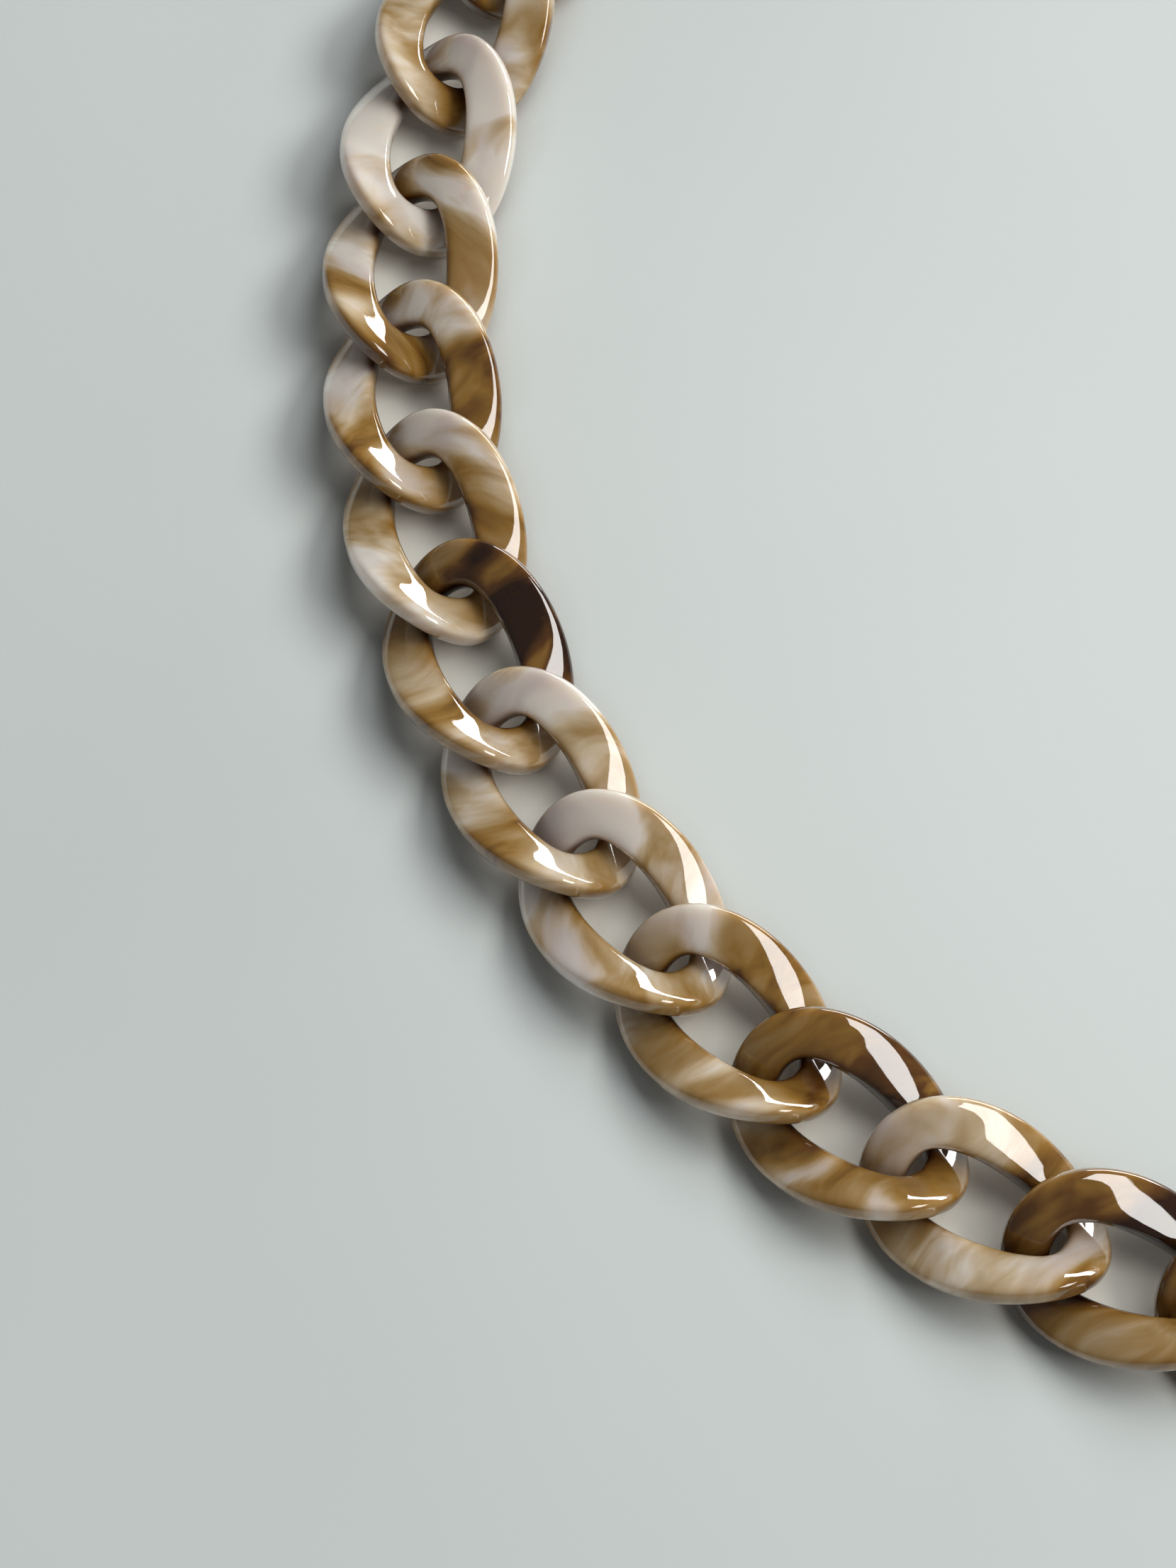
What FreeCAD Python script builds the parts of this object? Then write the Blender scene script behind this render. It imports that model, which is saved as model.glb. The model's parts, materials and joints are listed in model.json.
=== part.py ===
import FreeCAD, Part
import math
import os

# A chunky moulded curb-chain necklace, laid open and unclasped in an arc on a flat surface.
# Millimetres, +Z up. The origin is the centre of the laid-out necklace's footprint, on the surface.
# The front of the necklace faces -Y and its two ends, where it fastens, are at +Y.

doc = FreeCAD.newDocument("chain_necklace")

# ---------------------------------------------------------------- driving dimensions

DIMENSIONS = [
    ("link_count", 30, "moulded links in the chain"),
    ("link_length", 24.5, "one link, end to end"),
    ("link_width", 17.5, "one link, side to side"),
    ("end_width", 4.6, "width of the link's bar at its two ends"),
    ("arm_width", 5.2, "width of the bar halfway along the link's two arms"),
    ("end_thickness", 2.5, "thickness of the bar at the ends"),
    ("arm_thickness", 2.8, "thickness of the bar halfway along the arms"),
    ("end_twist_deg", 38.0, "turn of the bar at a link's end about the chain's line"),
    ("oval_fullness", 0.032, "how much fuller than an ellipse a link's outline is"),
    ("end_fullness", 0.07, "how much fuller than an ellipse the bar's section is at the ends"),
    ("arm_fullness", 0.08, "the same halfway along the arms"),
    ("link_pitch", 14.5, "one link's middle to the next one's"),
    ("rest_turn_deg", 7.85, "turn from one link to the next as the chain lies"),
    ("wire_radius", 0.8, "end rings: half their wire's diameter"),
    ("ring_radius", 5.2, "end rings: middle of the wire"),
    ("ring_sweep_deg", 358.0, "end rings: the turn that is wire, the rest is the slit"),
    ("ring_lean_deg", 41.0, "end rings: lean from upright"),
    ("ring_slit_deg", 200.0, "end rings: where the slit is, round the ring"),
    ("ring_reach", 1.2, "end rings: centre beyond the middle of the bar that they hang on"),
    ("ring_height", 5.0, "end rings: centre above the surface"),
    ("ring_droop_deg", 8.0, "catch ring: how far its free side is let down"),
    ("clasp_pitch_deg", 13.0, "clasp: nose down, eyelet up in its ring"),
    ("clasp_roll_deg", -15.0, "clasp: roll about its own length"),
    ("eyelet_radius", 2.6, "clasp eyelet: middle of the wire"),
    ("eyelet_wire", 0.7, "clasp eyelet: half its wire's diameter"),
    ("neck_radius", 1.05, "clasp: neck between the eyelet and the shell"),
    ("shell_centre", 6.6, "clasp: middle of the shell, from the eyelet's centre"),
    ("shell_offset", 0.3, "clasp: shell's middle to the back of the centre line"),
    ("shell_half_length", 3.1, "clasp shell: half length"),
    ("shell_half_width", 2.4, "clasp shell: half width"),
    ("shell_half_depth", 1.5, "clasp shell: half thickness"),
    ("hook_centre", 11.6, "clasp hook: centre of its curve, from the eyelet's centre"),
    ("hook_radius", 3.35, "clasp hook: middle of its bar"),
    ("hook_bar", 1.2, "clasp hook: half the bar's thickness"),
    ("nose_angle_deg", 70.0, "clasp hook: how far round the nose comes"),
    ("root_angle_deg", 172.0, "clasp hook: where it starts in the shell"),
    ("slot_half", 0.7, "clasp: half the slot that the lever works in"),
    ("slot_start", 4.4, "clasp: where the slot starts, from the eyelet's centre"),
    ("slot_top", 1.05, "clasp: how deep into the shell the slot goes"),
    ("pivot_drop", 0.9, "clasp: rivet below the centre line"),
    ("rivet_radius", 0.5, "rivet shank"),
    ("rivet_head", 0.88, "rivet head radius"),
    ("rivet_seat", 1.15, "rivet head's seat, from the clasp's middle plane"),
    ("head_height", 0.28, "rivet head height"),
    ("seat_gap", 0.02, "gap round the rivet in the shell"),
    ("running_gap", 0.06, "gap round the rivet in the lever"),
    ("lever_half", 0.6, "lever: half thickness"),
    ("lever_arm", 1.3, "lever: width of the arm"),
    ("lever_hub", 1.3, "lever: hub radius"),
    ("nose_gap", 0.12, "gap from the closed lever to the nose"),
    ("thumb_back", 1.3, "lever: thumb nub behind the pivot"),
    ("thumb_drop", 2.3, "lever: thumb nub below the pivot"),
    ("thumb_radius", 0.95, "lever: thumb nub radius"),
    ("thumb_half", 1.1, "lever: half the thumb nub's length"),
    ("stalk_width", 1.24, "lever: width of the stalk between hub and thumb nub"),
    ("spring_leaf", 0.18, "leaf spring: thickness"),
    ("spring_gap", 0.12, "leaf spring: gap over the lever's hub"),
    ("spring_length", 3.0, "leaf spring: length"),
    ("spring_half", 0.5, "leaf spring: half width"),
    ("spring_curl", 0.32, "leaf spring: radius of its curled foot"),
]

sheet = doc.addObject("Spreadsheet::Sheet", "dimensions")
for row, (alias, value, meaning) in enumerate(DIMENSIONS, start=1):
    sheet.set("A%d" % row, meaning)
    sheet.set("B%d" % row, str(value))
    sheet.setAlias("B%d" % row, alias)
doc.recompute()


def size(alias):
    return float(sheet.get(alias))


def bound(kind, name, formulas):
    """A Part primitive whose properties follow the sheet."""
    made = doc.addObject(kind, name)
    for path, formula in formulas.items():
        made.setExpression(path, formula)
    return made


# ---------------------------------------------------------------- the link's form

ROUND_ROWS = 32
SECTION_COLUMNS = 12
SETTLING_PASSES = 60
FULL_TURN = 2.0 * math.pi


def between(what, around):
    """A size of the bar at a place round the link, between its size at the ends and on the arms."""
    at_end = size("end_" + what)
    return at_end + (size("arm_" + what) - at_end) * math.sin(around) ** 2


def bar_point(around, section):
    """A point of a link's skin. The link lies along Y. Its bar runs round an oval, and the whole oval
    is twisted about Y, one way at one end and the other way at the other, so that links interlock.
    Where the bar is wider than at the ends, the extra width is on the inside."""
    half_length = (size("link_length") - size("end_width")) / 2.0
    half_width = (size("link_width") - size("end_width")) / 2.0
    full = size("oval_fullness")
    across = half_width * (math.sin(around) + full * math.sin(3 * around)) / (1 - full)
    along = half_length * (math.cos(around) - full * math.cos(3 * around)) / (1 - full)
    slope_x = half_width * (math.cos(around) + 3 * full * math.cos(3 * around))
    slope_y = half_length * (-math.sin(around) + 3 * full * math.sin(3 * around))
    slope = math.hypot(slope_x, slope_y)
    cushion = between("fullness", around)
    bar_width = between("width", around)
    out = bar_width / 2.0
    out *= (math.cos(section) - cushion * math.cos(3 * section)) / (1 - cushion)
    out -= (bar_width - size("end_width")) / 2.0
    up = between("thickness", around) / 2.0
    up *= (math.sin(section) + cushion * math.sin(3 * section)) / (1 - cushion)
    flat_x = across - slope_y / slope * out
    flat_y = along + slope_x / slope * out
    twist = math.radians(size("end_twist_deg")) * flat_y / half_length
    lean_x = flat_x * math.cos(twist) - up * math.sin(twist)
    lean_z = flat_x * math.sin(twist) + up * math.cos(twist)
    return FreeCAD.Vector(lean_x, flat_y, lean_z)


def closed_controls(points):
    """Control points of the closed cubic spline that goes through the points."""
    count = len(points)
    controls = list(points)
    for _ in range(SETTLING_PASSES):
        reached = []
        for here in range(count):
            before = controls[here - 1]
            after = controls[(here + 1) % count]
            reached.append((before + controls[here] * 4.0 + after) * (1.0 / 6.0))
        controls = [controls[n] + points[n] - reached[n] for n in range(count)]
    return controls


def link_solid():
    """The link as a closed skin of four spline faces."""
    rows = []
    for i in range(ROUND_ROWS):
        around = FULL_TURN * i / ROUND_ROWS
        ring = [bar_point(around, FULL_TURN * j / SECTION_COLUMNS) for j in range(SECTION_COLUMNS)]
        rows.append(closed_controls(ring))
    columns = [closed_controls([row[j] for row in rows]) for j in range(SECTION_COLUMNS)]
    poles = [[columns[j][i] for j in range(SECTION_COLUMNS)] for i in range(ROUND_ROWS)]
    skin = Part.BSplineSurface()
    skin.buildFromPolesMultsKnots(
        poles,
        [1] * (ROUND_ROWS + 1),
        [1] * (SECTION_COLUMNS + 1),
        list(range(ROUND_ROWS + 1)),
        list(range(SECTION_COLUMNS + 1)),
        True,
        True,
        3,
        3,
    )
    faces = []
    for start in (0, ROUND_ROWS // 2):
        for side in (0, SECTION_COLUMNS // 2):
            patch = skin.copy()
            patch.segment(start, start + ROUND_ROWS // 2, side, side + SECTION_COLUMNS // 2)
            faces.append(patch.toShape())
    shell = Part.makeShell(faces)
    shell.sewShape()
    return Part.Solid(shell)


link_shape = link_solid()
link_height = link_shape.optimalBoundingBox().ZLength

# ---------------------------------------------------------------- where the links lie

COUNT = int(size("link_count"))
TURN = math.radians(size("rest_turn_deg"))
ARC_RADIUS = size("link_pitch") / 2.0 / math.tan(TURN / 2.0)
UP = FreeCAD.Vector(0, 0, 1)


def link_angle(index):
    """How far round the arc a link is, from the middle of the front."""
    return (index - (COUNT - 1) / 2.0) * TURN


def link_placement(index):
    angle = link_angle(index)
    place = FreeCAD.Vector(ARC_RADIUS * math.sin(angle), -ARC_RADIUS * math.cos(angle), link_height / 2.0)
    return FreeCAD.Placement(place, FreeCAD.Rotation(UP, math.degrees(angle) + 90.0))


parts = []


def keep(made, label, body_placement):
    made.Label = label
    made.Placement = body_placement
    parts.append(made)


for index in range(COUNT):
    link = doc.addObject("Part::Feature", "link_%02d" % (index + 1))
    link.Shape = link_shape
    keep(link, "link_%02d" % (index + 1), link_placement(index))

# ---------------------------------------------------------------- end rings


def turned(axis, degrees):
    return FreeCAD.Placement(FreeCAD.Vector(), FreeCAD.Rotation(FreeCAD.Vector(*axis), degrees))


def end_frame(index, last):
    """A frame at a chain end's link: its +Y points out of the chain, its origin is on the surface."""
    frame = link_placement(index)
    frame.Base.z = 0.0
    return frame * turned((0, 0, 1), 180.0 if last else 0.0)


BAR_REACH = (size("link_length") - size("end_width")) / 2.0
BAR_CENTRE = FreeCAD.Vector(0, BAR_REACH, link_height / 2.0)
TWIST = math.radians(size("end_twist_deg"))
BAR_LINE = FreeCAD.Vector(math.cos(TWIST), 0, math.sin(TWIST))
RING_CENTRE = FreeCAD.Vector(0, BAR_REACH + size("ring_reach"), size("ring_height"))


def ring_placement(droop_deg):
    """A ring round the end link's bar, leaning as that bar does, its free side let down."""
    lean = turned((0, 1, 0), 90.0 - size("ring_lean_deg")) * turned((0, 0, 1), size("ring_slit_deg"))
    lean.Base = RING_CENTRE
    droop = FreeCAD.Placement(
        FreeCAD.Vector(), FreeCAD.Rotation(BAR_LINE, -droop_deg), BAR_CENTRE
    )
    return droop * lean


RING_FORMULAS = {
    "Radius1": "dimensions.ring_radius",
    "Radius2": "dimensions.wire_radius",
    "Angle3": "dimensions.ring_sweep_deg",
}
first_end = end_frame(0, False)
last_end = end_frame(COUNT - 1, True)

clasp_ring = bound("Part::Torus", "clasp_ring", RING_FORMULAS)
keep(clasp_ring, "clasp_ring", first_end * ring_placement(0.0))

catch_ring = bound("Part::Torus", "catch_ring", RING_FORMULAS)
keep(catch_ring, "catch_ring", last_end * ring_placement(size("ring_droop_deg")))

# ---------------------------------------------------------------- lobster clasp
# Its own frame: the eyelet's centre at the origin, the clasp along +X, the hook's back at +Y,
# and Z = 0 its middle plane.

eyelet_place = FreeCAD.Placement(RING_CENTRE + FreeCAD.Vector(0, size("ring_radius"), 0), FreeCAD.Rotation())
clasp_place = first_end * eyelet_place
clasp_place = clasp_place * turned((0, 0, 1), 90.0)
clasp_place = clasp_place * turned((0, 1, 0), size("clasp_pitch_deg"))
clasp_place = clasp_place * turned((1, 0, 0), size("clasp_roll_deg"))

eyelet = bound(
    "Part::Torus",
    "eyelet",
    {"Radius1": "dimensions.eyelet_radius", "Radius2": "dimensions.eyelet_wire"},
)
neck = bound(
    "Part::Cylinder",
    "neck",
    {
        "Radius": "dimensions.neck_radius",
        "Height": "dimensions.slot_start - dimensions.eyelet_radius",
        "Placement.Base.x": "dimensions.eyelet_radius",
        "Placement.Rotation.Pitch": "90",
    },
)
shell = bound(
    "Part::Ellipsoid",
    "shell",
    {
        "Radius1": "dimensions.shell_half_depth",
        "Radius2": "dimensions.shell_half_length",
        "Radius3": "dimensions.shell_half_width",
        "Placement.Base.x": "dimensions.shell_centre",
        "Placement.Base.y": "dimensions.shell_offset",
    },
)
hook = bound(
    "Part::Torus",
    "hook",
    {
        "Radius1": "dimensions.hook_radius",
        "Radius2": "dimensions.hook_bar",
        "Angle3": "dimensions.nose_angle_deg + dimensions.root_angle_deg",
        "Placement.Base.x": "dimensions.hook_centre",
        "Placement.Rotation.Yaw": "-dimensions.nose_angle_deg",
    },
)
NOSE_X = "dimensions.hook_centre + dimensions.hook_radius * cos(dimensions.nose_angle_deg * 1 deg)"
NOSE_Y = "-dimensions.hook_radius * sin(dimensions.nose_angle_deg * 1 deg)"
nose = bound(
    "Part::Sphere",
    "nose",
    {
        "Radius": "dimensions.hook_bar",
        "Placement.Base.x": NOSE_X,
        "Placement.Base.y": NOSE_Y,
    },
)
casting = doc.addObject("Part::MultiFuse", "casting")
casting.Shapes = [eyelet, neck, shell, hook, nose]

slot = bound(
    "Part::Box",
    "lever_slot",
    {
        "Length": "dimensions.hook_centre - dimensions.slot_start - dimensions.hook_bar",
        "Width": "dimensions.slot_top + dimensions.hook_radius",
        "Height": "2 * dimensions.slot_half",
        "Placement.Base.x": "dimensions.slot_start",
        "Placement.Base.y": "-dimensions.hook_radius",
        "Placement.Base.z": "-dimensions.slot_half",
    },
)
DEEP = "2 * dimensions.shell_half_depth"
rivet_hole = bound(
    "Part::Cylinder",
    "rivet_hole",
    {
        "Radius": "dimensions.rivet_radius + dimensions.seat_gap",
        "Height": "2 * " + DEEP,
        "Placement.Base.x": "dimensions.shell_centre",
        "Placement.Base.y": "-dimensions.pivot_drop",
        "Placement.Base.z": "-" + DEEP,
    },
)


def head_seat(name, base):
    return bound(
        "Part::Cylinder",
        name,
        {
            "Radius": "dimensions.rivet_head + dimensions.seat_gap",
            "Height": DEEP,
            "Placement.Base.x": "dimensions.shell_centre",
            "Placement.Base.y": "-dimensions.pivot_drop",
            "Placement.Base.z": base,
        },
    )


clasp_cuts = doc.addObject("Part::MultiFuse", "clasp_cuts")
clasp_cuts.Shapes = [
    slot,
    rivet_hole,
    head_seat("upper_seat", "dimensions.rivet_seat"),
    head_seat("lower_seat", "-dimensions.rivet_seat - " + DEEP),
]
clasp_body = doc.addObject("Part::Cut", "clasp_body")
clasp_body.Base = casting
clasp_body.Tool = clasp_cuts
keep(clasp_body, "clasp_body", clasp_place)

# Rivet: a shank with a flat head at each side, in the frame of its own middle.
shank = bound(
    "Part::Cylinder",
    "shank",
    {
        "Radius": "dimensions.rivet_radius",
        "Height": "2 * dimensions.rivet_seat + dimensions.head_height",
        "Placement.Base.z": "-dimensions.rivet_seat - dimensions.head_height / 2",
    },
)


def rivet_cap(name, base):
    """A head, a hair off its seat so that it doesn't share a face with the casting."""
    return bound(
        "Part::Cylinder",
        name,
        {
            "Radius": "dimensions.rivet_head",
            "Height": "dimensions.head_height",
            "Placement.Base.z": base,
        },
    )


rivet = doc.addObject("Part::MultiFuse", "clasp_rivet")
rivet.Shapes = [
    shank,
    rivet_cap("upper_cap", "dimensions.rivet_seat + dimensions.seat_gap"),
    rivet_cap("lower_cap", "-dimensions.rivet_seat - dimensions.seat_gap - dimensions.head_height"),
]
PIVOT = FreeCAD.Vector(size("shell_centre"), -size("pivot_drop"), 0)
pivot_place = clasp_place * FreeCAD.Placement(PIVOT, FreeCAD.Rotation())
keep(rivet, "clasp_rivet", pivot_place)

# Lever: hub, arm to the nose, and thumb nub, in the frame of its pivot.
RUN_X = "(%s - dimensions.shell_centre)" % NOSE_X
RUN_Y = "(%s + dimensions.pivot_drop)" % NOSE_Y
ARM_YAW = "atan2(%s; %s)" % (RUN_Y, RUN_X)
ARM_RUN = "sqrt(%s ^ 2 + %s ^ 2)" % (RUN_X, RUN_Y)
ARM_LENGTH = ARM_RUN + " - dimensions.hook_bar - dimensions.nose_gap - dimensions.lever_arm / 2"
FLAT = {"Height": "2 * dimensions.lever_half", "Placement.Base.z": "-dimensions.lever_half"}
hub = bound("Part::Cylinder", "hub", dict(FLAT, Radius="dimensions.lever_hub"))
arm = bound(
    "Part::Box",
    "arm",
    dict(
        FLAT,
        **{
            "Length": ARM_LENGTH,
            "Width": "dimensions.lever_arm",
            "Placement.Rotation.Yaw": ARM_YAW,
            "Placement.Base.x": "dimensions.lever_arm / 2 * sin(%s)" % ARM_YAW,
            "Placement.Base.y": "-dimensions.lever_arm / 2 * cos(%s)" % ARM_YAW,
        }
    ),
)
tip = bound(
    "Part::Cylinder",
    "tip",
    dict(
        FLAT,
        **{
            "Radius": "dimensions.lever_arm / 2",
            "Placement.Base.x": "(%s) * cos(%s)" % (ARM_LENGTH, ARM_YAW),
            "Placement.Base.y": "(%s) * sin(%s)" % (ARM_LENGTH, ARM_YAW),
        }
    ),
)
stalk = bound(
    "Part::Box",
    "stalk",
    dict(
        FLAT,
        **{
            "Length": "dimensions.stalk_width",
            "Width": "dimensions.thumb_drop",
            "Placement.Base.x": "-dimensions.thumb_back",
            "Placement.Base.y": "-dimensions.thumb_drop",
        }
    ),
)
thumb = bound(
    "Part::Cylinder",
    "thumb",
    {
        "Radius": "dimensions.thumb_radius",
        "Height": "2 * dimensions.thumb_half",
        "Placement.Base.x": "-dimensions.thumb_back",
        "Placement.Base.y": "-dimensions.thumb_drop",
        "Placement.Base.z": "-dimensions.thumb_half",
    },
)
lever_blank = doc.addObject("Part::MultiFuse", "lever_blank")
lever_blank.Shapes = [hub, arm, tip, stalk, thumb]
lever_hole = bound(
    "Part::Cylinder",
    "lever_hole",
    {
        "Radius": "dimensions.rivet_radius + dimensions.running_gap",
        "Height": "4 * dimensions.lever_half",
        "Placement.Base.z": "-2 * dimensions.lever_half",
    },
)
lever = doc.addObject("Part::Cut", "clasp_lever")
lever.Base = lever_blank
lever.Tool = lever_hole
keep(lever, "clasp_lever", pivot_place)

# Leaf spring: a strip over the lever's hub, curled at its foot in the slot's closed end.
LEAF_Y = "dimensions.lever_hub - dimensions.pivot_drop + dimensions.spring_gap"
STRIP = {"Height": "2 * dimensions.spring_half", "Placement.Base.z": "-dimensions.spring_half"}
leaf = bound(
    "Part::Box",
    "leaf",
    dict(
        STRIP,
        **{
            "Length": "dimensions.spring_length",
            "Width": "dimensions.spring_leaf",
            "Placement.Base.x": "dimensions.slot_start + dimensions.spring_curl",
            "Placement.Base.y": LEAF_Y,
        }
    ),
)
curl = bound(
    "Part::Cylinder",
    "curl",
    dict(
        STRIP,
        **{
            "Radius": "dimensions.spring_curl",
            "Placement.Base.x": "dimensions.slot_start + dimensions.spring_curl + dimensions.seat_gap",
            "Placement.Base.y": LEAF_Y + " + dimensions.spring_leaf - dimensions.spring_curl",
        }
    ),
)
spring = doc.addObject("Part::MultiFuse", "clasp_spring")
spring.Shapes = [leaf, curl]
keep(spring, "clasp_spring", clasp_place)

doc.recompute()

# ---------------------------------------------------------------- checks and files

for made in doc.Objects:
    if "Invalid" in made.State or "Error" in made.State:
        raise RuntimeError("%s did not build: %s" % (made.Label, made.State))

box = FreeCAD.BoundBox()
for made in parts:
    if made.Shape.isNull() or not made.Shape.isValid() or len(made.Shape.Solids) != 1:
        raise RuntimeError("%s is not one valid solid" % made.Label)
    box.add(made.Shape.optimalBoundingBox())

# The origin goes to the middle of the footprint.
shift = FreeCAD.Placement(FreeCAD.Vector(-box.Center.x, -box.Center.y, -box.ZMin), FreeCAD.Rotation())
os.makedirs("parts", exist_ok=True)
for made in parts:
    made.Placement = shift * made.Placement
    made.Shape.exportStep("parts/%s.step" % made.Label)
print("kept", len(parts), "shift", shift.Base, "size", box.XLength, box.YLength, box.ZLength)
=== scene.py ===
import json
import math
import random

import bmesh
import bpy
from mathutils import Matrix, Vector


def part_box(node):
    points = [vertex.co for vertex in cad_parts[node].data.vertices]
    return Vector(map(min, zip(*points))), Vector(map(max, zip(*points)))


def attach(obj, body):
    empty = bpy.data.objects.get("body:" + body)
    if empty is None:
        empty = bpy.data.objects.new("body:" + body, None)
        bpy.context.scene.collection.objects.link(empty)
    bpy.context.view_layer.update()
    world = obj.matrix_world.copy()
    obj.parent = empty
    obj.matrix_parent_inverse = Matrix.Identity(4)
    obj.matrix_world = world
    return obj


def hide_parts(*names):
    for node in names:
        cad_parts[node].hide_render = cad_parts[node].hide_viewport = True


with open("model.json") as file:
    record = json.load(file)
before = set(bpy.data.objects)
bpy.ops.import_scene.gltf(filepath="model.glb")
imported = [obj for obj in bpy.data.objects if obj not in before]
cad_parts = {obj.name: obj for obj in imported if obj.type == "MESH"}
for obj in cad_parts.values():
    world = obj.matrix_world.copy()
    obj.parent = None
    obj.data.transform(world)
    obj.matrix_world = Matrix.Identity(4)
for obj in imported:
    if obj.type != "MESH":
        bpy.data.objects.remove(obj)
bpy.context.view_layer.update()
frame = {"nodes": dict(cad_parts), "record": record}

MM = 0.001
BODY_OF = {
    node: body
    for body, members in frame["record"]["behaviour"]["bodies"].items()
    for node in members
}

# ------------------------------------------------------------------ the chain, as in the CAD source, mm

LINK_COUNT = 30
LINK_LENGTH, LINK_WIDTH = 24.5, 17.5
END_WIDTH, ARM_WIDTH = 4.6, 5.2
END_THICKNESS, ARM_THICKNESS = 2.5, 2.8
END_TWIST = math.radians(38.0)
OVAL_FULLNESS = 0.032
END_FULLNESS, ARM_FULLNESS = 0.07, 0.08
LINK_PITCH = 14.5
REST_TURN = math.radians(7.85)
ARC_RADIUS = LINK_PITCH / 2 / math.tan(REST_TURN / 2)
SHIFT_Y = 20.9111  # how far along +Y the arc's centre lies

# the drawn mesh's steps: along the loop, and round the bar
STEPS_ALONG, STEPS_ROUND = 208, 44


def bar_point(u, v):
    """A point of a link's surface in the link's own frame, mm, and the same point before the bar is turned.

    u goes round the loop, from the end nearer the clasp, and v round the bar's section, from its outer side.
    """
    half_y = (LINK_LENGTH - END_WIDTH) / 2
    half_x = (LINK_WIDTH - END_WIDTH) / 2
    arm = math.sin(u) ** 2
    width = END_WIDTH + (ARM_WIDTH - END_WIDTH) * arm
    thickness = END_THICKNESS + (ARM_THICKNESS - END_THICKNESS) * arm
    q = END_FULLNESS + (ARM_FULLNESS - END_FULLNESS) * arm
    k = OVAL_FULLNESS
    x = half_x * (math.sin(u) + k * math.sin(3 * u)) / (1 - k)
    y = half_y * (math.cos(u) - k * math.cos(3 * u)) / (1 - k)
    dx = half_x * (math.cos(u) + 3 * k * math.cos(3 * u))
    dy = half_y * (-math.sin(u) + 3 * k * math.sin(3 * u))
    tangent = math.hypot(dx, dy)
    across = width / 2 * (math.cos(v) - q * math.cos(3 * v)) / (1 - q)
    across -= (width - END_WIDTH) / 2  # the arms' extra width is all on the inside
    height = thickness / 2 * (math.sin(v) + q * math.sin(3 * v)) / (1 - q)
    flat_x = x - dy / tangent * across
    flat_y = y + dx / tangent * across
    turn = END_TWIST * flat_y / half_y
    place = Vector((
        flat_x * math.cos(turn) - height * math.sin(turn),
        flat_y,
        flat_x * math.sin(turn) + height * math.cos(turn),
    ))
    return place, Vector((flat_x, flat_y, height))


def link_matrix(index, height):
    """Where a link lies, in metres: index 0 is the clasp's end, and height is its top plus its underside."""
    angle = (index - (LINK_COUNT - 1) / 2) * REST_TURN
    centre = Vector((
        ARC_RADIUS * math.sin(angle) * MM,
        (SHIFT_Y - ARC_RADIUS * math.cos(angle)) * MM,
        height / 2,
    ))
    return Matrix.Translation(centre) @ Matrix.Rotation(angle + math.pi / 2, 4, "Z")


def add_object(name, data):
    item = bpy.data.objects.new(name, data)
    bpy.context.scene.collection.objects.link(item)
    return item


# ------------------------------------------------------------------ material helpers

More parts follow.
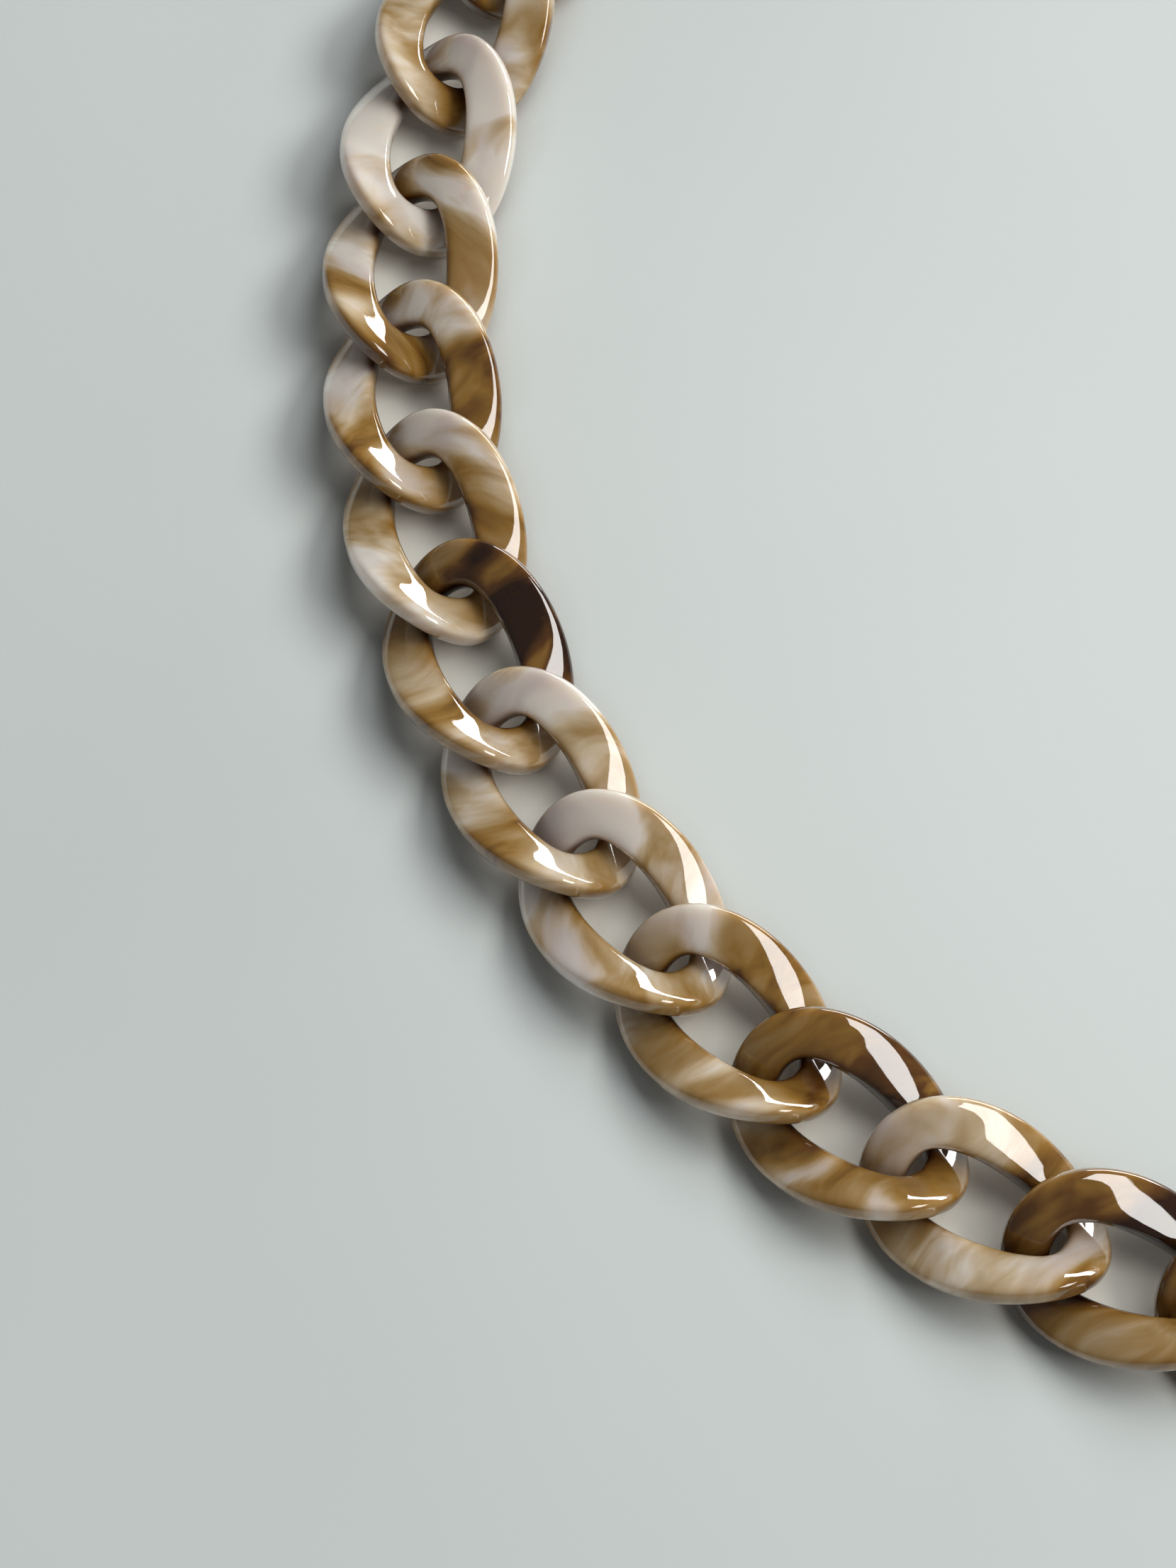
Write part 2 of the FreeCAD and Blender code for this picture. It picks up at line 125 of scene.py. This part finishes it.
class Nodes:
    """A material's node tree, built by short calls."""

    def __init__(self, name):
        self.material = bpy.data.materials.new(name)
        self.material.use_nodes = True
        self.tree = self.material.node_tree
        self.tree.nodes.clear()
        self.shader = self.add("ShaderNodeBsdfPrincipled")
        out = self.add("ShaderNodeOutputMaterial")
        self.join(self.shader.outputs["BSDF"], out.inputs["Surface"])

    def add(self, kind, **values):
        node = self.tree.nodes.new(kind)
        for key, value in values.items():
            setattr(node, key, value)
        return node

    def join(self, source, target):
        if hasattr(source, "is_output"):
            self.tree.links.new(source, target)
        else:
            target.default_value = source

    def attribute(self, name, output):
        return self.add("ShaderNodeAttribute", attribute_name=name).outputs[output]

    def math(self, operation, a, b=0.0, c=0.0):
        node = self.add("ShaderNodeMath", operation=operation)
        for socket, value in zip(node.inputs, (a, b, c)):
            self.join(value, socket)
        return node.outputs[0]

    def vector(self, operation, a, b):
        node = self.add("ShaderNodeVectorMath", operation=operation)
        self.join(a, node.inputs[0])
        self.join(b, node.inputs["Scale" if operation == "SCALE" else 1])
        return node.outputs["Value" if operation == "DISTANCE" else "Vector"]

    def noise(self, where, scale, detail=3.0, distortion=0.0, roughness=0.5, colour=False):
        node = self.add("ShaderNodeTexNoise")
        self.join(where, node.inputs["Vector"])
        node.inputs["Scale"].default_value = scale
        node.inputs["Detail"].default_value = detail
        node.inputs["Distortion"].default_value = distortion
        node.inputs["Roughness"].default_value = roughness
        return node.outputs["Color" if colour else "Fac"]

    def ramp(self, factor, stops, smooth=True):
        node = self.add("ShaderNodeValToRGB")
        band = node.color_ramp
        band.interpolation = "EASE" if smooth else "LINEAR"
        while len(band.elements) < len(stops):
            band.elements.new(0.5)
        for element, (place, colour) in zip(band.elements, stops):
            element.position = place
            element.color = (*colour, 1.0)
        self.join(factor, node.inputs["Fac"])
        return node.outputs["Color"]

    def mix(self, factor, a, b, blend="MIX"):
        node = self.add("ShaderNodeMix", data_type="RGBA", blend_type=blend)
        self.join(factor, node.inputs[0])
        self.join(a, node.inputs[6])
        self.join(b, node.inputs[7])
        return node.outputs[2]

    def painted_shading_mask(self, reach):
        """How open a place is: 1 in the open, 0 where everything within reach is closed in."""
        node = self.add("ShaderNodeAmbientOcclusion", samples=4)
        node.inputs["Distance"].default_value = reach
        return node.outputs["AO"]

    def spread(self, value, low, high, to_low=0.0, to_high=1.0):
        """A value carried smoothly from one range to another."""
        node = self.add("ShaderNodeMapRange", interpolation_type="SMOOTHSTEP")
        self.join(value, node.inputs["Value"])
        node.inputs["From Min"].default_value = low
        node.inputs["From Max"].default_value = high
        node.inputs["To Min"].default_value = to_low
        node.inputs["To Max"].default_value = to_high
        return node.outputs["Result"]

    def bump(self, height, strength, distance):
        node = self.add("ShaderNodeBump")
        self.join(height, node.inputs["Height"])
        node.inputs["Strength"].default_value = strength
        node.inputs["Distance"].default_value = distance
        self.join(node.outputs["Normal"], self.shader.inputs["Normal"])

    def plain(self, **values):
        """Numbers set straight on the shader, such as Coat_Weight."""
        for key, value in values.items():
            self.shader.inputs[key.replace("_", " ")].default_value = value


def srgb(red, green, blue):
    """A colour given in ordinary 0 to 255 display numbers."""
    def linear(c):
        c /= 255
        return c / 12.92 if c <= 0.04045 else ((c + 0.055) / 1.055) ** 2.4
    return (linear(red), linear(green), linear(blue))


# ------------------------------------------------------------------ marbled acrylic

MILK = srgb(222, 216, 207)
LILAC = srgb(190, 179, 176)
CREAM = srgb(197, 178, 148)
TAN = srgb(165, 138, 94)
AMBER = srgb(141, 106, 48)
BROWN = srgb(92, 60, 26)
UMBER = srgb(44, 24, 11)
MARBLE = [
    (0.00, MILK), (0.22, MILK), (0.36, CREAM), (0.50, TAN), (0.64, AMBER), (0.80, BROWN), (1.00, UMBER),
]
WHITE = (1.0, 1.0, 1.0)
# painted shade on the acrylic: darker and browner the more closely other links close it in
ACRYLIC_PAINTED_SHADE = [(0.20, (0.17, 0.065, 0.02)), (0.82, WHITE)]  # what sheltered acrylic is multiplied by
ACRYLIC_SHADE_REACH = 5.0 * MM

# the marble's layers: how close together along x, y and z of the flow, and how much each changes the tone
PATCHES, PATCHES_WEIGHT = (0.075, 0.13, 0.10), 0.42
STREAKS, STREAKS_WEIGHT = (0.12, 0.28, 0.20), 0.56
FINE, FINE_WEIGHT = (0.30, 0.80, 0.60), 0.16
SWIRL, SWIRL_REACH = 0.075, 12.0


def marbled_acrylic():
    """Clouds and veins of cast acrylic, with painted shade where neighbouring links close it in.

    The mesh carries tone, how dark a place is, with painted shade on the bar's narrow sides, and flow, where
    in the marble it lies.
    """
    n = Nodes("marbled_acrylic")
    tone = n.attribute("tone", "Fac")
    flow = n.attribute("flow", "Vector")

    push = n.noise(flow, SWIRL, detail=1.0, colour=True)
    push = n.vector("SUBTRACT", push, (0.5, 0.5, 0.5))
    warped = n.vector("ADD", flow, n.vector("SCALE", push, SWIRL_REACH))

    patches = n.spread(n.noise(n.vector("MULTIPLY", warped, PATCHES), 1.0, detail=1.0), 0.34, 0.66)
    streaks = n.noise(n.vector("MULTIPLY", warped, STREAKS), 1.0, detail=2.0, distortion=0.7)
    fine = n.noise(n.vector("MULTIPLY", warped, FINE), 1.0, detail=2.0, distortion=0.8)
    shade = tone
    for layer, weight in (patches, PATCHES_WEIGHT), (streaks, STREAKS_WEIGHT), (fine, FINE_WEIGHT):
        shade = n.math("MULTIPLY_ADD", n.math("SUBTRACT", layer, 0.5), weight, shade)

    warm = n.ramp(shade, MARBLE, smooth=False)
    grey = n.spread(n.noise(n.vector("ADD", warped, (31.0, 7.0, 3.0)), 0.10, detail=3.0), 0.45, 0.68)
    grey = n.math("MULTIPLY", grey, n.spread(shade, 0.56, 0.28, 0.0, 0.70))
    colour = n.mix(grey, warm, (*LILAC, 1.0))
    # painted shade: darker and browner where neighbouring links close the acrylic in, at crossings and in
    # crevices
    painted_shading = n.ramp(n.painted_shading_mask(ACRYLIC_SHADE_REACH), ACRYLIC_PAINTED_SHADE, smooth=False)
    colour = n.mix(1.0, colour, painted_shading, blend="MULTIPLY")
    n.join(colour, n.shader.inputs["Base Color"])

    smear = n.noise(flow, 0.5, detail=4.0)
    n.join(n.spread(smear, 0.35, 0.75, 0.03, 0.06), n.shader.inputs["Roughness"])
    n.bump(n.noise(flow, 0.22, detail=2.0), 0.10, 0.4 * MM)
    n.plain(IOR=1.49, Subsurface_Weight=0.6, Subsurface_Scale=2.5 * MM, Subsurface_Radius=(1.0, 0.62, 0.38),
            Coat_Weight=1.0, Coat_Roughness=0.02)
    return n.material


# a link's tones, 0 for white to 1 for umber: inner arm, outer arm, end nearer the clasp, end nearer the catch
LINK_TONES = {
    9: (0.50, 0.25, 0.36, 0.64), 10: (0.15, 0.05, 0.03, 0.52), 11: (0.35, 0.44, 0.41, 0.50),
    12: (0.51, 0.42, 0.42, 0.47), 13: (0.50, 0.27, 0.42, 0.33), 14: (0.84, 0.48, 0.74, 0.65),
    15: (0.38, 0.42, 0.26, 0.45), 16: (0.24, 0.36, 0.12, 0.47), 17: (0.46, 0.34, 0.22, 0.59),
    18: (0.90, 0.42, 0.76, 0.30), 19: (0.58, 0.53, 0.35, 0.50), 20: (0.86, 0.74, 0.76, 0.53),
}

# which of its chance marblings a link has: these six are the top ones of a ranking by likeness to the picture
LINK_DRAWS = {12: 1, 14: 5, 15: 1, 16: 2, 18: 3, 19: 4}
FIRST_DRAW = 400

# how far apart in the marble the links are cut, mm, and how far each is turned in it, radians
MARBLE_SPREAD, MARBLE_SPIN = 400, 0.7

# painted shade: how much darker the bar's narrow sides are than its faces, on the link's outside and round
# its opening, standing in for the dark look of edges and of the opening's walls
RIM_PAINTED_SHADE, WALL_PAINTED_SHADE = 0.08, 0.24

# how sharply the tone changes from arm to arm, and where along the link and how fast it turns to an end's
ARM_CHANGE, END_START, END_POWER = 2.6, 0.35, 1.2

# the tones of links that have none set: least, greatest and likeliest, how far the four differ, the limits
CHANCE_TONE, CHANCE_VARIETY = (0.12, 0.80, 0.40), 0.16
LIGHTEST, DARKEST = 0.08, 0.85


def link_tones(number, rng):
    """The four tones of a link, drawn by chance where none is set."""
    drawn = rng.triangular(*CHANCE_TONE)
    four = [drawn + rng.uniform(-CHANCE_VARIETY, CHANCE_VARIETY) for _ in range(4)]
    return LINK_TONES.get(number, [min(DARKEST, max(LIGHTEST, tone)) for tone in four])


def tone_and_painted_shade_at(flat, v, tones):
    """The tone at a point of a link before it is turned, with painted shade on the bar's narrow sides; v is
    how far round the bar the point is.
    """
    inner, outer, upper, lower = tones
    side = flat.x / (LINK_WIDTH / 2)
    end = flat.y / (LINK_LENGTH / 2)
    level = outer + (inner - outer) * (0.5 + 0.5 * math.tanh(ARM_CHANGE * side))
    tip = upper if end > 0 else lower
    level += (tip - level) * max(0.0, (abs(end) - END_START) / (1 - END_START)) ** END_POWER
    # painted shade: the bar's narrow sides made darker, a little on the outside rim and more on the walls
    # round the opening
    return level + (RIM_PAINTED_SHADE if math.cos(v) > 0 else WALL_PAINTED_SHADE) * math.cos(v) ** 4


def make_link(number, material):
    """One link drawn with its own smooth surface, riding on and standing in for its CAD node."""
    name = f"link_{number:02d}"
    rng = random.Random(FIRST_DRAW + 100 * LINK_DRAWS.get(number, 0) + number)
    four = link_tones(number, rng)
    offset = Vector([rng.uniform(-MARBLE_SPREAD, MARBLE_SPREAD) for _ in range(3)])
    spin = Matrix.Rotation(rng.uniform(-MARBLE_SPIN, MARBLE_SPIN), 3, "Z")

    low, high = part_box(name)
    stand = link_matrix(number - 1, high.z + low.z)
    places, flows, tones, faces = [], [], [], []
    for i in range(STEPS_ALONG):
        u = 2 * math.pi * i / STEPS_ALONG
        for j in range(STEPS_ROUND):
            v = 2 * math.pi * j / STEPS_ROUND
            place, flat = bar_point(u, v)
            places.append(stand @ (place * MM))
            flows.append(spin @ flat + offset)
            tones.append(tone_and_painted_shade_at(flat, v, four))
            right, up = (i + 1) % STEPS_ALONG, (j + 1) % STEPS_ROUND
            faces.append((
                i * STEPS_ROUND + j, right * STEPS_ROUND + j,
                right * STEPS_ROUND + up, i * STEPS_ROUND + up,
            ))

    mesh = bpy.data.meshes.new(name)
    mesh.from_pydata(places, [], faces)
    mesh.attributes.new("flow", "FLOAT_VECTOR", "POINT").data.foreach_set(
        "vector", [c for flow in flows for c in flow])
    mesh.attributes.new("tone", "FLOAT", "POINT").data.foreach_set("value", tones)
    mesh.polygons.foreach_set("use_smooth", [True] * len(mesh.polygons))
    mesh.materials.append(material)
    mesh.update()

    piece = add_object("marbled_" + name, mesh)
    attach(piece, BODY_OF[name])
    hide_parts(name)


acrylic = marbled_acrylic()
for number in range(1, LINK_COUNT + 1):
    make_link(number, acrylic)

# ------------------------------------------------------------------ metal


def plated(name, light, dark, roughness):
    """Bright plated metal: a little uneven in colour and in polish."""
    n = Nodes(name)
    where = n.add("ShaderNodeTexCoord").outputs["Object"]
    patch = n.noise(where, 260.0, detail=3.0)
    n.join(n.ramp(patch, [(0.35, dark), (0.65, light)]), n.shader.inputs["Base Color"])
    rub = n.noise(where, 900.0, detail=4.0)
    n.join(n.spread(rub, 0.3, 0.8, roughness * 0.7, roughness * 1.6), n.shader.inputs["Roughness"])
    n.bump(n.noise(where, 1500.0, detail=2.0), 0.06, 0.1 * MM)
    n.plain(Metallic=1.0)
    return n.material


gold_wire = plated("gold_wire", srgb(236, 204, 142), srgb(214, 174, 108), 0.16)
gold_cast = plated("gold_cast", srgb(238, 206, 146), srgb(210, 168, 100), 0.20)
steel = plated("spring_strip", srgb(190, 190, 188), srgb(150, 150, 150), 0.28)
for node, material in {
    "clasp_ring": gold_wire, "catch_ring": gold_wire, "clasp_body": gold_cast, "clasp_spring": steel,
}.items():
    piece = frame["nodes"][node]
    piece.data.materials.clear()
    piece.data.materials.append(material)


# corners closer than this are one; edges flatter than the first angle go, sharper than the second are rounded
WELD = 0.002 * MM
FLAT_ANGLE, SHARP_ANGLE = math.radians(1.0), math.radians(35.0)


def rounded(node, material, radius):
    """A CAD piece with its sharp edges rounded off, as casting and tumbling leave them."""
    form = bmesh.new()
    form.from_mesh(frame["nodes"][node].data)
    bmesh.ops.remove_doubles(form, verts=form.verts, dist=WELD)
    bmesh.ops.dissolve_limit(form, angle_limit=FLAT_ANGLE, verts=form.verts, edges=form.edges)
    for face in form.faces:
        face.smooth = True
    mesh = bpy.data.meshes.new("rounded_" + node)
    form.to_mesh(mesh)
    form.free()
    mesh.materials.append(material)
    piece = add_object("rounded_" + node, mesh)

    edges = piece.modifiers.new("edges", "BEVEL")
    edges.width = radius
    edges.segments = 3
    edges.limit_method = "ANGLE"
    edges.angle_limit = SHARP_ANGLE
    edges.harden_normals = True
    shown = piece.evaluated_get(bpy.context.evaluated_depsgraph_get())
    piece.data = bpy.data.meshes.new_from_object(shown)
    piece.modifiers.clear()
    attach(piece, BODY_OF[node])
    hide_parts(node)


rounded("clasp_lever", gold_cast, 0.16 * MM)
rounded("clasp_rivet", gold_cast, 0.12 * MM)

# ------------------------------------------------------------------ floor, light and camera

VIEW_TURN = math.radians(57.025)  # from the model's +Y round to the picture's up
VIEW_CENTRE = Vector((-6.70, -79.61, 0.0)) * MM
CAMERA_TILT = math.radians(21.69)  # from straight down
CAMERA_DISTANCE = 371.5 * MM
LENS, SENSOR = 89.5, 36.0

FLOOR_HALF = 4.0
FLOOR_COLOURS = [(0.3, srgb(203, 210, 210)), (0.7, srgb(209, 216, 215))]
FLOOR_SHADE_REACH = 9.0 * MM
# painted shade and painted light: what the floor is multiplied by where the chain closes it in, darker next
# to the chain and lighter and warmer right below it
PAINTED_SHADE_BESIDE = [(0.0, (0.40, 0.24, 0.13)), (0.75, WHITE)]
PAINTED_LIGHT_UNDER = [(0.0, (1.56, 1.34, 1.16)), (0.75, WHITE)]
# how far from the chain's line the painted light reaches, and from how far the painted shade takes over
PAINTED_LIGHT_HALF_WIDTH, PAINTED_SHADE_FROM = 4.5 * MM, 8.0 * MM


def from_view(azimuth, elevation, distance):
    """A place seen from the middle of the view: azimuth from the picture's up towards its right, degrees."""
    azimuth, elevation = math.radians(azimuth), math.radians(elevation)
    flat = Vector((
        math.sin(azimuth) * math.cos(elevation),
        math.cos(azimuth) * math.cos(elevation),
        math.sin(elevation),
    ))
    return VIEW_CENTRE + Matrix.Rotation(VIEW_TURN, 3, "Z") @ flat * distance


def floor():
    """A matt surface with painted shade next to the chain, where it closes the floor in, and painted light
    right below it, lighter and warmer, in place of light let through the acrylic.
    """
    n = Nodes("floor")
    where = n.add("ShaderNodeTexCoord").outputs["Object"]
    colour = n.ramp(n.noise(where, 6.0, detail=4.0), FLOOR_COLOURS)
    # painted shade and painted light on the floor, from how closed in it is and how far it lies from the
    # chain's line
    painted_shading_mask = n.painted_shading_mask(FLOOR_SHADE_REACH)
    painted_shade_beside = n.ramp(painted_shading_mask, PAINTED_SHADE_BESIDE, smooth=False)
    painted_light_under = n.ramp(painted_shading_mask, PAINTED_LIGHT_UNDER, smooth=False)
    reach = n.vector("DISTANCE", where, (0.0, SHIFT_Y * MM, 0.0))
    from_line = n.math("ABSOLUTE", n.math("SUBTRACT", reach, ARC_RADIUS * MM))
    painted_shading = n.mix(n.spread(from_line, PAINTED_LIGHT_HALF_WIDTH, PAINTED_SHADE_FROM), painted_light_under, painted_shade_beside)
    n.join(n.mix(1.0, colour, painted_shading, blend="MULTIPLY"), n.shader.inputs["Base Color"])
    n.bump(n.noise(where, 700.0, detail=3.0), 0.05, 0.2 * MM)
    n.plain(Roughness=0.75, Specular_IOR_Level=0.3)

    corners = [(x * FLOOR_HALF, y * FLOOR_HALF, 0) for x, y in ((-1, -1), (1, -1), (1, 1), (-1, 1))]
    mesh = bpy.data.meshes.new("floor")
    mesh.from_pydata(corners, [], [(0, 1, 2, 3)])
    mesh.materials.append(n.material)
    add_object("floor", mesh)


def softbox(name, azimuth, elevation, distance, size, power, colour, mirrored):
    """A rectangular light turned to the middle of the view; mirrored says if glossy things show it."""
    light = bpy.data.lights.new(name, "AREA")
    light.shape = "RECTANGLE"
    light.size, light.size_y = size
    light.energy = power
    light.color = colour
    lamp = add_object(name, light)
    lamp.location = from_view(azimuth, elevation, distance)
    lamp.rotation_mode = "QUATERNION"
    lamp.rotation_quaternion = (VIEW_CENTRE - lamp.location).to_track_quat("-Z", "Y")
    lamp.visible_glossy = mirrored


def room(colour, strength):
    """The faint light from all round."""
    world = bpy.data.worlds.new("room")
    bpy.context.scene.world = world
    world.use_nodes = True
    background = world.node_tree.nodes["Background"]
    background.inputs["Color"].default_value = (*colour, 1.0)
    background.inputs["Strength"].default_value = strength


def look():
    """The camera, and colours shown as they are."""
    lens = bpy.data.cameras.new("camera")
    lens.lens, lens.sensor_width = LENS, SENSOR
    lens.clip_start, lens.clip_end = 0.01, 20.0
    camera = add_object("camera", lens)
    camera.location = from_view(180.0, 90.0 - math.degrees(CAMERA_TILT), CAMERA_DISTANCE)
    camera.rotation_mode = "QUATERNION"
    turned = Matrix.Rotation(VIEW_TURN, 3, "Z") @ Matrix.Rotation(CAMERA_TILT, 3, "X")
    camera.rotation_quaternion = turned.to_quaternion()
    bpy.context.scene.camera = camera
    bpy.context.scene.view_settings.view_transform = "Standard"


floor()
softbox("broad", 50, 60, 0.6, (0.50, 0.45), 2.0, (1.0, 0.99, 0.97), mirrored=False)
softbox("window", 100, 46, 0.9, (0.58, 0.29), 4.5, (1.0, 0.98, 0.95), mirrored=True)
softbox("low_window", 35, 5.4, 1.2, (0.95, 0.21), 8.2, (1.0, 0.975, 0.94), mirrored=True)
softbox("fill", 285, 13, 1.2, (1.20, 0.30), 2.2, (0.97, 0.98, 1.0), mirrored=False)
room((0.92, 0.96, 1.0), 0.10)
look()
